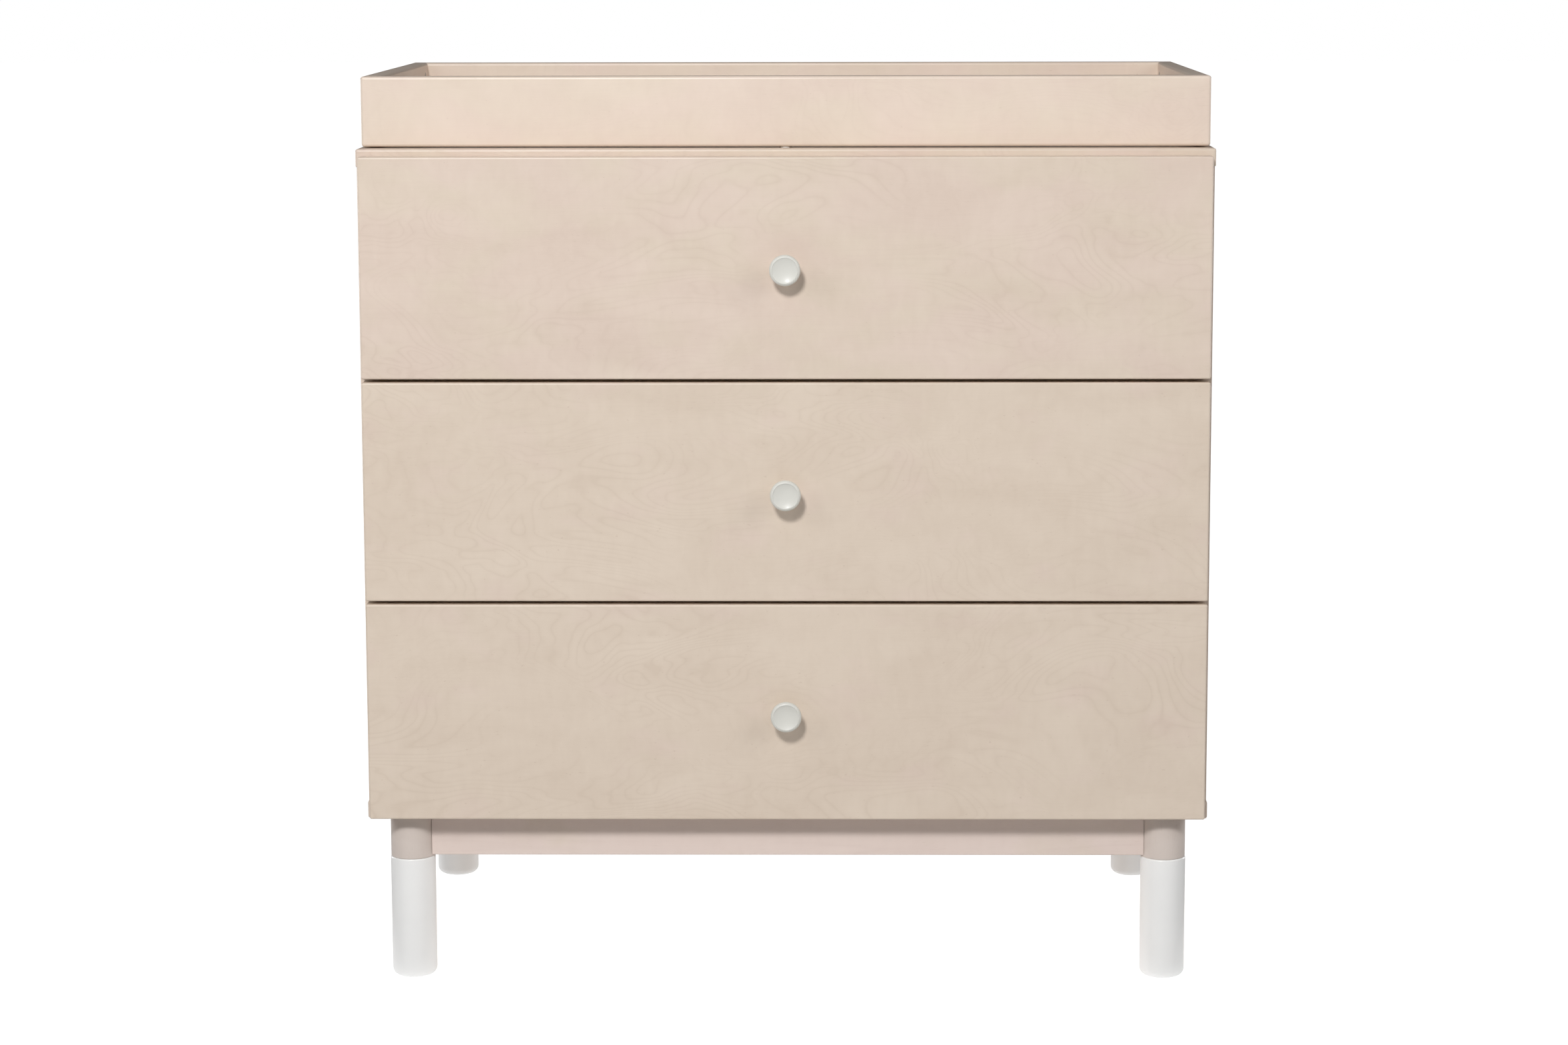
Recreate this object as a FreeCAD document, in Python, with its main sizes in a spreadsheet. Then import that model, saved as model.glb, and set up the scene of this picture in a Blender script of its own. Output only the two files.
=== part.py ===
import FreeCAD, Part
import os
import re
import Sketcher

# Three-drawer nursery dresser with a lift-off changing tray, in millimetres.
# +Z is up, the front faces -Y and +X is to the right. The origin is on the floor, in the middle of the
# whole object's footprint, knobs included. Places along Y are given from the middle of the case, and
# put() adds the step from one to the other.

# Driving sizes, one row of the sheet each.
SIZES = {
    # case
    "case_width": 870,  # top and bottom panels, left to right
    "case_depth": 465,  # top and bottom panels, front to back
    "case_height": 693,  # underside of the bottom panel to the top of the top panel
    "panel_thick": 19,
    "panel_round": 2.6,  # rounding of the top and bottom panels' edges
    "side_thick": 18,
    "side_inset": 1.5,  # side panel's outer face, in from the top panel's end
    "back_thick": 5,
    "back_inset": 10,  # back panel's rear face, in from the case's rear
    "back_groove": 8,  # depth of the groove that holds the back panel
    "groove_slack": 1,  # room left past the back panel's edge in its groove
    "rail_depth": 60,
    "rail_thick": 18,
    # base
    "foot_height": 128,
    "post_height": 44,
    "leg_dia": 46.5,
    "leg_side_inset": 43.4,  # leg axis, in from the top panel's end
    "leg_end_inset": 23.5,  # leg axis, in from the case's front and rear
    "foot_round": 8,
    "foot_top_round": 1.8,
    "post_round": 1,
    "apron_thick": 20,
    "apron_height": 42,
    "apron_round": 1.2,
    "foot_bolt_dia": 8,
    "foot_bolt_length": 44,
    "block_leg": 60,  # corner block, along each apron
    # drawers
    "front_side_gap": 4.5,  # front's end, in from the top panel's end
    "front_thick": 19,
    "front_gap": 1,  # between a closed front and the case
    "front_round": 1.8,
    "top_reveal": 7,  # top of the case to the top front
    "bottom_reveal": 4,  # underside of the case to the bottom front
    "reveal": 3.5,  # between two fronts
    "box_depth": 420,  # drawer box behind its front
    "box_head": 35,  # box's top edge below its front's upper edge
    "box_rise": 30,  # front's lower edge to the box's lower edge
    "box_thick": 15,  # sides and back
    "box_ease": 1.5,  # rounding of the box's top edges
    "box_groove": 6,  # depth of the joints and of the bottom's grooves
    "box_slack": 0.5,  # room left past the bottom's edge in its groove
    "bottom_thick": 5,
    "bottom_rise": 10,
    # slides: three nested steel channels each side
    "slide_space": 12.7,
    "slide_tall": 35,
    "slide_steel": 1.2,
    "slide_length": 400,
    "slide_set_back": 3,  # behind the case's front edges
    "slide_rise": 50,  # slide's middle above the box's lower edge
    "ball_gap": 2.8,  # between two nested channels, where the balls run
    "outer_reach": 11.4,  # depth of the case member
    "middle_start": 2.7,  # web of the intermediate member, off the side panel
    "middle_reach": 8,
    "inner_reach": 6.5,
    # knobs
    "knob_dia": 31.5,
    "knob_reach": 25,
    "knob_neck_dia": 13.5,
    "knob_base_dia": 17.5,
    "knob_dish": 2.6,  # depth of the dished face below its lip
    "knob_lip_dia": 26.8,  # where the dish begins
    "knob_under_dia": 28.7,  # where the rim ends and the underside begins
    "knob_under_high": 19,  # the same place, above the front's face
    "knob_neck_high": 8.5,  # the narrowest place, above the front's face
    "knob_flare": 2.5,  # how far the head's underside is hollowed
    "knob_foot_flare": 1.2,
    "knob_hollow": 12,  # depth of the screw's hole in the knob
    "machine_dia": 4,
    "machine_head_dia": 8.5,
    "machine_head_tall": 2.6,
    "machine_hole_dia": 5,
    # tray
    "tray_side_gap": 4.5,  # tray's end, in from the top panel's end
    "tray_height": 71,
    "tray_thick": 18,
    "tray_round": 3,
    "tray_set_back": 15,  # behind the top panel's front edge
    "bumper_dia": 12,
    "bumper_thick": 1.5,
    "bumper_inset": 70,  # side boards' bumpers, in from the tray's front and rear
    "bracket_play": 0.3,  # bracket clear of the top panel and of its lower screw's head
    "bracket_width": 25,
    "bracket_height": 60,
    "bracket_thick": 2,
    "bracket_round": 4,
    "bracket_x": 250,  # bracket's middle, each side of the tray's middle
    "bracket_drop": 16,  # bracket's lower end below the top of the case
    "slot_width": 5,
    # wood screws
    "screw_dia": 4,
    "screw_head_dia": 8,
    "screw_length": 38,
    "pan_screw_length": 16,
    "pan_head_tall": 2.4,
    # cam fittings
    "cam_dia": 12,
    "cam_depth": 12.5,
    "cam_reach": 24,  # cam's axis from the end of its board
    "cam_axis": 9,  # bolt's axis below the cam's open face
    "cam_slot": 1.6,
    "cam_bolt_dia": 7,
    "cam_thread_dia": 5,
    "cam_thread_length": 11,
    "cam_hole_dia": 8,
    "cam_front": 50,  # side panel's cams, from the front and from the rear
    "cam_spread": 39,  # between the two cams of a tray corner
}

# Sizes that follow from the ones above.
FORMULAS = {
    "half_width": "case_width / 2",
    "half_depth": "case_depth / 2",
    "front_stand": "front_gap + front_thick + knob_reach",
    "rear_stand": "bracket_thick + 2 * bracket_play + pan_head_tall",
    "middle_y": "(front_stand - rear_stand) / 2",
    "case_low": "foot_height + post_height",
    "case_top": "case_low + case_height",
    "inside_low": "case_low + panel_thick",
    "inside_height": "case_height - 2 * panel_thick",
    "side_outer": "half_width - side_inset",
    "inside_half": "side_outer - side_thick",
    "inside_width": "2 * inside_half",
    "back_hold": "back_groove - groove_slack",
    "back_local": "case_depth - back_inset - back_thick",
    "leg_x": "half_width - leg_side_inset",
    "leg_y": "half_depth - leg_end_inset",
    "front_height": "(case_height - top_reveal - bottom_reveal - 2 * reveal) / 3",
    "front_width": "case_width - 2 * front_side_gap",
    "pitch": "front_height + reveal",
    "front_back": "0 - half_depth - front_gap",
    "front_face": "front_back - front_thick",
    "first_front": "case_low + bottom_reveal",
    "box_half": "inside_half - slide_space",
    "box_height": "front_height - box_rise - box_head",
    "box_inner": "2 * (box_half - box_thick)",
    "bottom_hold": "box_groove - box_slack",
    "slide_front": "slide_set_back - half_depth",
    "slide_first": "first_front + box_rise + slide_rise",
    "outer_half": "slide_tall / 2",
    "middle_half": "outer_half - slide_steel - ball_gap",
    "inner_half": "middle_half - slide_steel - ball_gap",
    "rail_first": "first_front + front_height + reveal / 2 - rail_thick / 2",
    "tray_width": "case_width - 2 * tray_side_gap",
    "tray_low": "case_top + bumper_thick",
    "tray_front": "tray_set_back - half_depth",
    "tray_rear": "half_depth + bracket_play",
    "tray_depth": "tray_rear - tray_front",
    "tray_side_length": "tray_depth - 2 * tray_thick",
    "cam_low": "(tray_height - cam_spread) / 2",
    "bracket_low": "case_top - bracket_drop",
    "slot_top": "bracket_drop - panel_thick / 2 + slot_width / 2",
    "bracket_screw_low": "tray_low + bumper_dia - bracket_low",
    "bracket_screw_high": "bracket_height - bumper_dia",
    "screw_apron_x": "leg_x / 2",
    "block_screw": "apron_thick / 2 + block_leg / 4 + leg_dia / 8",
    "head_deep": "(screw_head_dia - screw_dia) / 2",
}

doc = FreeCAD.newDocument("ChangingTable")
sheet = doc.addObject("Spreadsheet::Sheet", "Sizes")
for row, (word, number) in enumerate(SIZES.items(), start=1):
    sheet.set("A%d" % row, word)
    sheet.set("B%d" % row, str(number))
    sheet.setAlias("B%d" % row, word)
doc.recompute()

pieces = []


def formula(text):
    """The text with each word of FORMULAS written out and each word of SIZES turned into its cell."""

    def spell(match):
        word = match.group(0)
        if word in FORMULAS:
            return "(" + formula(FORMULAS[word]) + ")"
        return "Sizes." + word if word in SIZES else word

    return re.sub(r"[a-z][a-z_]*", spell, text)


def value(text):
    return float(sheet.evalExpression(formula(text)))


def point(x, y):
    return FreeCAD.Vector(value(x), value(y), 0)


def put(thing, place):
    """Binds a placement's position to three formulas, given from the middle of the case."""
    for axis, text in zip("xyz", place):
        start = "middle_y + " if axis == "y" else ""
        thing.setExpression("Placement.Base." + axis, formula(start + text))


def body_at(label, place=("0", "0", "0"), is_piece=True):
    body = doc.addObject("PartDesign::Body", label)
    body.Label = label
    put(body, place)
    if is_piece:
        pieces.append(body)
    return body


def sketch_on(body, plane, offset="0"):
    sketch = body.newObject("Sketcher::SketchObject", "sketch")
    support = next(item for item in body.Origin.OriginFeatures if item.Role == plane + "_Plane")
    sketch.AttachmentSupport = [(support, "")]
    sketch.MapMode = "FlatFace"
    sketch.setExpression("AttachmentOffset.Base.z", formula(offset))
    return sketch


def hold(sketch, constraint, text):
    """Adds a dimension to a sketch and binds it to a formula."""
    number = sketch.addConstraint(constraint)
    sketch.setExpression("Constraints[%d]" % number, formula(text))


def pin(sketch, line, end, x, y):
    hold(sketch, Sketcher.Constraint("DistanceX", -1, 1, line, end, value(x)), x)
    hold(sketch, Sketcher.Constraint("DistanceY", -1, 1, line, end, value(y)), y)


def rectangle(sketch, x, y, width, height):
    right = "%s + %s" % (x, width)
    top = "%s + %s" % (y, height)
    corners = [point(x, y), point(right, y), point(right, top), point(x, top)]
    first = sketch.GeometryCount
    for corner in range(4):
        sketch.addGeometry(Part.LineSegment(corners[corner], corners[(corner + 1) % 4]), False)
    for corner in range(4):
        after = first + (corner + 1) % 4
        sketch.addConstraint(Sketcher.Constraint("Coincident", first + corner, 2, after, 1))
        level = "Horizontal" if corner % 2 == 0 else "Vertical"
        sketch.addConstraint(Sketcher.Constraint(level, first + corner))
    pin(sketch, first, 1, x, y)
    pin(sketch, first + 2, 1, right, top)


def circle(sketch, x, y, diameter):
    ring = Part.Circle(point(x, y), FreeCAD.Vector(0, 0, 1), value(diameter) / 2)
    number = sketch.addGeometry(ring, False)
    pin(sketch, number, 3, x, y)
    hold(sketch, Sketcher.Constraint("Diameter", number, value(diameter)), diameter)


def outline(sketch, corners):
    """A closed outline through (x, y) corners; (x, y, bulge) arrives on an arc that far out to its right."""
    ends = [point(corner[0], corner[1]) for corner in corners]
    lines = []
    for index, corner in enumerate(corners):
        start, end = ends[index - 1], ends[index]
        if len(corner) == 2:
            shape = Part.LineSegment(start, end)
        else:
            along = (end - start).normalize()
            bulge = FreeCAD.Vector(along.y, -along.x, 0) * value(corner[2])
            shape = Part.Arc(start, (start + end) / 2 + bulge, end)
        number = sketch.addGeometry(shape, False)
        at_end = 2 if sketch.getPoint(number, 2).distanceToPoint(end) < 1e-6 else 1
        lines.append((number, at_end))
        pin(sketch, number, at_end, corner[0], corner[1])
        if len(corner) == 3:
            before = corners[index - 1]
            span = "((%s - (%s))^2 + (%s - (%s))^2)" % (corner[0], before[0], corner[1], before[1])
            radius = "(%s / 4 + (%s)^2) / (2 * abs(%s))" % (span, corner[2], corner[2])
            hold(sketch, Sketcher.Constraint("Radius", number, value(radius)), radius)
    for index, (number, at_end) in enumerate(lines):
        before, before_end = lines[index - 1]
        sketch.addConstraint(Sketcher.Constraint("Coincident", before, before_end, number, 3 - at_end))


def feature(body, kind, sketch, flip=False):
    made = body.newObject("PartDesign::" + kind, kind.lower())
    made.Profile = sketch
    made.Reversed = flip
    return made


def pad(body, sketch, length, flip=False):
    made = feature(body, "Pad", sketch, flip)
    made.setExpression("Length", formula(length))
    doc.recompute()
    return made


def cut(body, sketch, depth, flip=False):
    """Cuts against the sketch's normal, or along it if flipped. A cut that misses the piece is an error."""
    before = body.Shape.Volume
    made = feature(body, "Pocket", sketch, flip)
    made.setExpression("Length", formula(depth))
    doc.recompute()
    if body.Shape.Volume > before - 1:
        raise RuntimeError(body.Label + ": a cut misses its piece")


def slot(body, plane, offset, corner, size, depth, flip=False):
    sketch = sketch_on(body, plane, offset)
    rectangle(sketch, corner[0], corner[1], size[0], size[1])
    cut(body, sketch, depth, flip)


def drill(body, plane, offset, centres, diameter, depth, flip=False):
    sketch = sketch_on(body, plane, offset)
    for x, y in centres:
        circle(sketch, x, y, diameter)
    cut(body, sketch, depth, flip)


def turn(body, corners, plane="XZ"):
    """Turns an outline of (radius, height) corners about its plane's vertical axis."""
    sketch = sketch_on(body, plane)
    outline(sketch, corners)
    made = feature(body, "Revolution", sketch)
    made.ReferenceAxis = (sketch, ["V_Axis"])
    made.Angle = 360
    doc.recompute()


def ease(body, radius, wanted=lambda edge: True):
    """Rounds the edges that the test picks."""
    base = body.Tip
    names = ["Edge%d" % number for number, edge in enumerate(base.Shape.Edges, start=1) if wanted(edge)]
    made = body.newObject("PartDesign::Fillet", "fillet")
    made.Base = (base, names)
    made.setExpression("Radius", formula(radius))
    doc.recompute()


def runs(edge, axis):
    """Whether an edge is straight along an axis, named by its letter."""
    size = edge.BoundBox
    spans = {"x": size.XLength, "y": size.YLength, "z": size.ZLength}
    return spans.pop(axis) > 1 and max(spans.values()) < 1e-3


def board(label, size, low, is_piece=True):
    """A flat rectangular board: its size along X, Y and Z, and where its low corner lies."""
    body = body_at(label, low, is_piece)
    sketch = sketch_on(body, "XY")
    rectangle(sketch, "0", "0", size[0], size[1])
    pad(body, sketch, size[2])
    return body


def copies(label, groups):
    """One piece made of placed copies: each group is a template and its (place, rotation) pairs."""
    links = []
    for template, places in groups:
        for place, rotation in places:
            link = doc.addObject("App::Link", "copy")
            link.LinkedObject = template
            link.LinkTransform = False
            link.Placement = FreeCAD.Placement(FreeCAD.Vector(), rotation)
            put(link, place)
            links.append(link)
    compound = doc.addObject("Part::Compound", label)
    compound.Label = label
    compound.Links = links
    pieces.append(compound)


def rotated(axis, degrees):
    axes = {"x": FreeCAD.Vector(1, 0, 0), "y": FreeCAD.Vector(0, 1, 0), "z": FreeCAD.Vector(0, 0, 1)}
    return FreeCAD.Rotation(axes[axis], degrees)


UPRIGHT = FreeCAD.Rotation()


# The case


def case_cam_rows():
    """Along Y, where the cam fittings stand in the side panels."""
    return ["cam_front", "case_depth - cam_front"]


def base_screw_places():
    """Where screws go down through the bottom panel into the posts, corner blocks and long aprons."""
    places = []
    for right in (-1, 1):
        for rear in (-1, 1):
            places.append(("%d * leg_x" % right, "%d * leg_y" % rear))
            places.append(("%d * (leg_x - block_screw)" % right, "%d * (leg_y - block_screw)" % rear))
            places.append(("%d * screw_apron_x" % right, "%d * leg_y" % rear))
    return places


def case_panel(label, low, is_top):
    body = board(label, ("case_width", "case_depth", "panel_thick"), ("-half_width", "-half_depth", low))
    ease(body, "panel_round")
    inner = "0" if is_top else "panel_thick"
    groove_end = "side_inset + side_thick - back_groove"
    groove_size = ("case_width - 2 * (%s)" % groove_end, "back_thick")
    slot(body, "XY", inner, (groove_end, "back_local"), groove_size, "back_groove", flip=is_top)
    side_bolt = "side_inset + side_thick - cam_axis"
    ends = (side_bolt, "case_width - (%s)" % side_bolt)
    centres = [(x, y) for x in ends for y in case_cam_rows()]
    drill(body, "XY", inner, centres, "cam_thread_dia", "cam_thread_length", flip=is_top)
    return body


def make_top_panel():
    body = case_panel("top_panel", "case_top - panel_thick", True)
    centres = [("half_width + %d * bracket_x" % side, "panel_thick / 2") for side in (-1, 1)]
    grip = "pan_screw_length - bracket_thick - 2 * bracket_play"
    drill(body, "XZ", "-case_depth", centres, "screw_dia", grip, flip=True)


def make_bottom_panel():
    body = case_panel("bottom_panel", "case_low", False)
    sketch = sketch_on(body, "XY", "panel_thick")
    for x, y in base_screw_places():
        circle(sketch, "half_width + " + x, "half_depth + " + y, "screw_dia")
    doc.recompute()
    hole = body.newObject("PartDesign::Hole", "hole")
    hole.Profile = sketch
    hole.DepthType = "ThroughAll"
    hole.setExpression("Diameter", formula("screw_dia"))
    hole.HoleCutType = "Countersink"
    hole.HoleCutCustomValues = True
    hole.setExpression("HoleCutDiameter", formula("screw_head_dia"))
    hole.HoleCutCountersinkAngle = 90
    doc.recompute()


def side_panel(label, is_left):
    low_x = "-side_outer" if is_left else "inside_half"
    inner = "side_thick" if is_left else "0"
    body = board(label, ("side_thick", "case_depth", "inside_height"), (low_x, "-half_depth", "inside_low"))
    into = not is_left
    slot(body, "YZ", inner, ("back_local", "0"), ("back_thick", "inside_height"), "back_groove", into)
    heights = ("cam_reach", "inside_height - cam_reach")
    drill(body, "YZ", inner, [(y, z) for y in case_cam_rows() for z in heights], "cam_dia", "cam_depth", into)
    ends = [("side_thick - cam_axis" if is_left else "cam_axis", y) for y in case_cam_rows()]
    drill(body, "XY", "0", ends, "cam_hole_dia", "cam_reach", flip=True)
    drill(body, "XY", "inside_height", ends, "cam_hole_dia", "cam_reach")
    first_rail = "rail_first + cam_axis - inside_low"
    rails = [("rail_depth / 2", "%s + %d * pitch" % (first_rail, level)) for level in (0, 1)]
    drill(body, "YZ", inner, rails, "cam_thread_dia", "cam_thread_length", into)


def make_back_panel():
    size = ("inside_width + 2 * back_hold", "back_thick", "inside_height + 2 * back_hold")
    low = ("-inside_half - back_hold", "back_local - half_depth", "inside_low - back_hold")
    board("back_panel", size, low)


def make_rails():
    rail = board("rail", ("inside_width", "rail_depth", "rail_thick"), ("0", "0", "0"), is_piece=False)
    cams = [("cam_reach", "rail_depth / 2"), ("inside_width - cam_reach", "rail_depth / 2")]
    drill(rail, "XY", "0", cams, "cam_dia", "cam_depth", flip=True)
    bolt_way = [("rail_depth / 2", "cam_axis")]
    drill(rail, "YZ", "0", bolt_way, "cam_hole_dia", "cam_reach", flip=True)
    drill(rail, "YZ", "inside_width", bolt_way, "cam_hole_dia", "cam_reach")
    heights = ["rail_first + %d * pitch" % level for level in (0, 1)]
    copies("front_rails", [(rail, [(("-inside_half", "-half_depth", z), UPRIGHT) for z in heights])])


# The base


def apron(label, is_long, side):
    """One apron between two legs, its ends hollowed to fit round their posts."""
    reach = "leg_x" if is_long else "leg_y"
    across = "%d * leg_y" % side if is_long else "%d * leg_x" % side
    place = ("0", across, "case_low - apron_height") if is_long else (across, "0", "case_low - apron_height")
    body = body_at(label, place)
    sketch = sketch_on(body, "XY")
    ends = ("-" + reach, "2 * " + reach)
    wide = ("-apron_thick / 2", "apron_thick")
    if is_long:
        rectangle(sketch, ends[0], wide[0], ends[1], wide[1])
    else:
        rectangle(sketch, wide[0], ends[0], wide[1], ends[1])
    pad(body, sketch, "apron_height")
    long_way = "x" if is_long else "y"
    ease(body, "apron_round", lambda edge: runs(edge, long_way) and edge.BoundBox.ZMax < 1)
    centres = [("-" + reach, "0"), (reach, "0")]
    if not is_long:
        centres = [(y, x) for x, y in centres]
    drill(body, "XY", "0", centres, "leg_dia", "apron_height", flip=True)
    if is_long:
        screws = [("-screw_apron_x", "0"), ("screw_apron_x", "0")]
        drill(body, "XY", "apron_height", screws, "screw_dia", "screw_length - panel_thick")


def post(label, right, rear):
    body = body_at(label, ("%d * leg_x" % right, "%d * leg_y" % rear, "foot_height"))
    sketch = sketch_on(body, "XY")
    circle(sketch, "0", "0", "leg_dia")
    pad(body, sketch, "post_height")
    ease(body, "post_round", lambda edge: edge.BoundBox.ZMax < 1)
    drill(body, "XY", "0", [("0", "0")], "foot_bolt_dia", "foot_bolt_length / 2", flip=True)
    drill(body, "XY", "post_height", [("0", "0")], "screw_dia", "screw_length - panel_thick")


def foot(label, right, rear):
    body = body_at(label, ("%d * leg_x" % right, "%d * leg_y" % rear, "0"))
    sketch = sketch_on(body, "XY")
    circle(sketch, "0", "0", "leg_dia")
    pad(body, sketch, "foot_height")
    ease(body, "foot_round", lambda edge: edge.BoundBox.ZMax < 1)
    top = value("foot_height")
    ease(body, "foot_top_round", lambda edge: edge.BoundBox.ZMin > top - 1)
    drill(body, "XY", "foot_height", [("0", "0")], "foot_bolt_dia", "foot_bolt_length / 2")


def make_foot_bolts():
    bolt = body_at("foot_bolt", is_piece=False)
    sketch = sketch_on(bolt, "XY")
    circle(sketch, "0", "0", "foot_bolt_dia")
    pad(bolt, sketch, "foot_bolt_length")
    low = "foot_height - foot_bolt_length / 2"
    places = [(("%d * leg_x" % x, "%d * leg_y" % y, low), UPRIGHT) for x in (-1, 1) for y in (-1, 1)]
    copies("foot_bolts", [(bolt, places)])


def make_corner_blocks():
    """Triangular blocks inside the corners of the base, each hollowed to fit round its post."""
    block = body_at("corner_block", is_piece=False)
    sketch = sketch_on(block, "XY")
    near = "apron_thick / 2"
    far = "apron_thick / 2 + block_leg"
    outline(sketch, [(near, near), (far, near), (near, far)])
    pad(block, sketch, "apron_height")
    drill(block, "XY", "0", [("0", "0")], "leg_dia", "apron_height", flip=True)
    screw = [("block_screw", "block_screw")]
    drill(block, "XY", "apron_height", screw, "screw_dia", "screw_length - panel_thick")
    places = []
    for quarter, (x, y) in enumerate([(-1, -1), (1, -1), (1, 1), (-1, 1)]):
        place = ("%d * leg_x" % x, "%d * leg_y" % y, "case_low - apron_height")
        places.append((place, rotated("z", 90 * quarter)))
    copies("base_corner_blocks", [(block, places)])


# Fittings


def flat_screw():
    """A countersunk wood screw, its head's top at the origin and its point down."""
    body = body_at("flat_screw", is_piece=False)
    shank = "screw_dia / 2"
    head = "screw_head_dia / 2"
    tip = "-screw_length"
    turn(body, [("0", "0"), ("0", tip), (shank, tip + " + screw_dia"), (shank, "-head_deep"), (head, "0")])
    return body


def pan_screw():
    """A pan-head wood screw, the underside of its head at the origin and its point down."""
    body = body_at("pan_screw", is_piece=False)
    shank = "screw_dia / 2"
    head = "screw_head_dia / 2"
    top = "pan_head_tall"
    turn(
        body,
        [
            ("0", top),
            ("0", "-pan_screw_length"),
            (shank, "-pan_screw_length + screw_dia"),
            (shank, "0"),
            (head, "0"),
            (head, top + " / 2"),
            (shank, top, "pan_head_tall / 6"),
        ],
    )
    return body


def cam_lock():
    """A cam, its open face at the origin, its body up, and its bolt's way in along +X."""
    body = body_at("cam_lock", is_piece=False)
    sketch = sketch_on(body, "XY")
    circle(sketch, "0", "0", "cam_dia")
    pad(body, sketch, "cam_depth")
    driver = ("2 * cam_dia / 3", "cam_slot")
    slot(body, "XY", "0", ("-cam_dia / 3", "-cam_slot / 2"), driver, "cam_slot", flip=True)
    drill(body, "YZ", "-cam_bolt_dia / 2", [("0", "cam_axis")], "cam_bolt_dia", "cam_dia", flip=True)
    return body


def cam_bolt():
    """A cam's bolt, the face of its board at the origin, its thread down and its head up."""
    body = body_at("cam_bolt", is_piece=False)
    thread = "cam_thread_dia / 2"
    shank = "cam_bolt_dia / 2"
    top = "cam_reach + cam_bolt_dia / 2"
    tip = "-cam_thread_length"
    turn(body, [("0", top), ("0", tip), (thread, tip), (thread, "0"), (shank, "0"), (shank, top)])
    return body


def facing(direction, bolt):
    """The rotation that turns a template's +Z and +X to a fitting's direction and to its bolt's side."""
    third = direction.cross(bolt)
    return FreeCAD.Rotation(bolt, third, direction, "ZXY")


def make_case_cams(lock, bolt):
    locks = []
    bolts = []
    up = FreeCAD.Vector(0, 0, 1)
    for side in (-1, 1):
        outwards = FreeCAD.Vector(side, 0, 0)
        for y in case_cam_rows():
            y = y + " - half_depth"
            for top in (-1, 1):
                edge = "inside_low" if top < 0 else "inside_low + inside_height"
                cam_z = "%s - %d * cam_reach" % (edge, top)
                locks.append((("%d * inside_half" % side, y, cam_z), facing(outwards, up * top)))
                bolt_x = "%d * (inside_half + cam_axis)" % side
                bolts.append(((bolt_x, y, edge), facing(up * -top, outwards)))
        for level in (0, 1):
            low = "rail_first + %d * pitch" % level
            y = "rail_depth / 2 - half_depth"
            axis = low + " + cam_axis"
            locks.append((("%d * (inside_half - cam_reach)" % side, y, low), facing(up, outwards)))
            bolts.append((("%d * inside_half" % side, y, axis), facing(outwards * -1, up)))
    copies("case_cam_locks", [(lock, locks)])
    copies("case_cam_bolts", [(bolt, bolts)])


def make_panel_screws(flat, pan):
    down = [((x, y, "inside_low"), UPRIGHT) for x, y in base_screw_places()]
    under_head = "half_depth + bracket_thick + 2 * bracket_play"
    high = "case_top - panel_thick / 2"
    rear = [(("%d * bracket_x" % side, under_head, high), rotated("x", -90)) for side in (-1, 1)]
    copies("panel_screws", [(flat, down), (pan, rear)])


# Drawer slides


def channel(sketch, side, web, tip, half, middle):
    """A steel channel's section: its web's outer face and its flanges' tips across, and its half height."""
    sign = "%d * " % side
    steel = "slide_steel * %d" % (1 if value(tip) > value(web) else -1)
    back = sign + "(%s)" % web
    inner = sign + "(%s + %s)" % (web, steel)
    end = sign + "(%s)" % tip
    low = "%s - %s" % (middle, half)
    high = "%s + %s" % (middle, half)
    low_in = low + " + slide_steel"
    high_in = high + " - slide_steel"
    lower = [(back, low), (end, low), (end, low_in), (inner, low_in)]
    upper = [(inner, high_in), (end, high_in), (end, high), (back, high)]
    outline(sketch, lower + upper)


def slide_members(label, web, tip, half, middle):
    """A left and a right member, running back from the case's front."""
    body = body_at(label, ("0", "slide_front", "0"))
    sketch = sketch_on(body, "XZ")
    for side in (-1, 1):
        channel(sketch, side, web, tip, half, middle)
    return body, sketch, pad(body, sketch, "slide_length", flip=True)


def make_case_slide_members():
    label = "case_slide_members"
    tip = "inside_half - outer_reach"
    body, sketch, first = slide_members(label, "inside_half", tip, "outer_half", "slide_first")
    pattern = body.newObject("PartDesign::LinearPattern", "pattern")
    pattern.Originals = [first]
    pattern.Direction = (sketch, ["V_Axis"])
    pattern.Occurrences = 3
    pattern.setExpression("Length", formula("2 * pitch"))
    body.Tip = pattern
    doc.recompute()


# Drawers


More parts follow.
